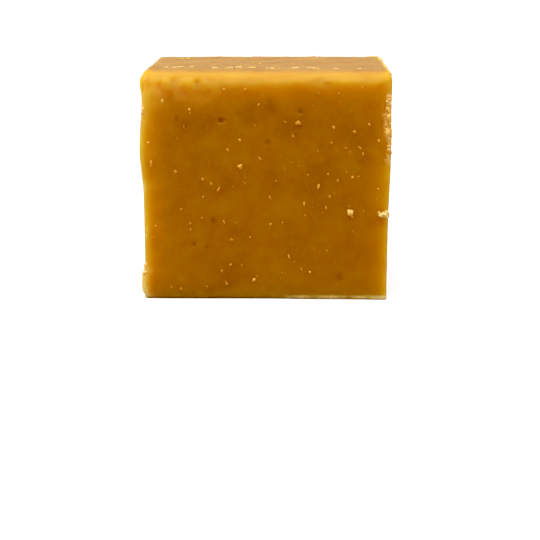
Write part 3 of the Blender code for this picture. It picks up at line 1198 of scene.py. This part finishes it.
def grained_sugar():
    """Dry grained sugar, from tan where fudge still clings to it to nearly white."""
    material, tree, shader = new_material("grained_sugar")
    colour = coloured(tree, stored(tree, "pale"), (
        (0.0, CUT_LIGHT),
        (0.4, GRAIN),
        (0.65, GRAIN_PALE),
        (0.85, GRAIN_DRY),
        (1.0, SUGAR),
    ))
    tree.links.new(colour, shader.inputs["Base Color"])
    add_relief(tree, shader, grainy(tree, SUGAR_GRAIN), 0.4, 0.02 * MM)
    shader.inputs["Roughness"].default_value = SUGAR_ROUGHNESS
    shader.inputs["Specular IOR Level"].default_value = 0.2
    return material


# --- floor, light and camera ---

FLOOR_RADIUS = 6.0
FLOOR_GAP = 0.02 * MM
CARD_SEEN = (0.95, 0.95, 0.95)
CARD_CAST = (0.255, 0.2, 0.125)
STUDIO_SEEN = (2.0, 2.0, 2.0)
STUDIO_CAST = (0.134, 0.135, 0.137)

# Far, round softboxes: heading, height and spread in degrees, and strength. Heading 0 is
# behind the cube and 90 on its right.
SOFTBOXES = {
    "overhead_softbox": (180.0, 83.0, 36.0, 6.15),
    "left_softbox": (-85.0, 30.0, 50.0, 3.05),
    "right_softbox": (85.0, 30.0, 50.0, 1.3),
    "back_softbox": (0.0, 14.0, 50.0, 0.2),
}

CAMERA_PLACE = (3.82 * MM, -188.92 * MM, 41.24 * MM)
CAMERA_DIP = math.radians(12.05)
CAMERA_TURN = math.radians(1.04)  # to the left
CAMERA_LENS = 100.0  # in mm, like the sensor
SENSOR_WIDTH = 36.0

TONE_WHITE = 1.6
TONE_BLACK = 0.006
TONE = ((0.31, 0.5), (0.51, 0.67), (0.69, 0.85), (0.875, 0.97))  # light, and as shown


def white_card():
    """Card that looks white but throws little light back up, as if it were far below."""
    material, tree, _ = new_material("white_card")
    show_camera(tree, "ShaderNodeBsdfDiffuse", "Material Output", CARD_SEEN, CARD_CAST)
    return material


def make_floor():
    bm = bmesh.new()
    bmesh.ops.create_circle(bm, cap_ends=True, segments=96, radius=FLOOR_RADIUS)
    mesh = bpy.data.meshes.new("floor")
    bm.to_mesh(mesh)
    bm.free()
    mesh.materials.append(white_card())
    floor = add_object("floor", mesh)
    floor.location.z = BLOCK_LOW[2] - FLOOR_GAP


def make_softbox(name, heading, height, spread, strength):
    light = bpy.data.lights.new(name, "SUN")
    light.angle = math.radians(spread)
    light.energy = strength
    lamp = add_object(name, light)
    a, e = math.radians(heading), math.radians(height)
    towards = Vector((math.sin(a) * math.cos(e), math.cos(a) * math.cos(e), math.sin(e)))
    lamp.rotation_mode = "QUATERNION"
    lamp.rotation_quaternion = towards.to_track_quat("Z", "Y")


def make_lights():
    for name, settings in SOFTBOXES.items():
        make_softbox(name, *settings)
    world = bpy.data.worlds.new("studio")
    world.use_nodes = True
    show_camera(world.node_tree, "ShaderNodeBackground", "World Output", STUDIO_SEEN, STUDIO_CAST)
    bpy.context.scene.world = world


def set_tone():
    """A camera's tone curve: deep blacks, and highlights that roll off into white."""
    view = bpy.context.scene.view_settings
    view.view_transform = "Standard"
    view.use_curve_mapping = True
    tone = view.curve_mapping
    tone.black_level = (TONE_BLACK,) * 3
    tone.white_level = (TONE_WHITE,) * 3
    curve = tone.curves[3]
    for scene_light, shown in TONE:
        curve.points.new(scene_light, shown)
    tone.update()


def make_camera():
    data = bpy.data.cameras.new("camera")
    data.sensor_width = SENSOR_WIDTH
    data.lens = CAMERA_LENS
    data.clip_start = 0.01
    data.clip_end = 20.0
    camera = add_object("camera", data)
    camera.location = CAMERA_PLACE
    camera.rotation_euler = (math.pi / 2 - CAMERA_DIP, 0.0, CAMERA_TURN)
    bpy.context.scene.camera = camera


make_camera()
make_floor()
make_lights()
set_tone()
block, block_broken = make_block()
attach(block, "root")
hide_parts("fudge_cube")

block_surface = surface_of(block)
rng = np.random.default_rng(SEED)
crumb_pieces = (
    make_crumbs("sugar_grains", list(grains_in_sides(block_surface, rng)), 2, rng),
    make_crumbs("edge_crumbs", list(crumbs_on_edges(block, block_broken, rng)), 2, rng),
    make_crumbs("flakes", list(flakes(block_surface)), 3, np.random.default_rng(SEED + 14)),
    make_crumbs("seam_crumbs", list(crumbs_on_seam(block_surface, rng)), 2, rng),
    make_crumbs("top_crumbs", list(crumbs_on_top(block_surface, rng)), 3, rng),
    make_crumbs("pit_crystals", list(crystals_in_pits(block_surface, rng)), 2, rng),
)
dry_sugar = grained_sugar()
for piece in crumb_pieces:
    piece.data.materials.append(dry_sugar)
    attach(piece, "root")
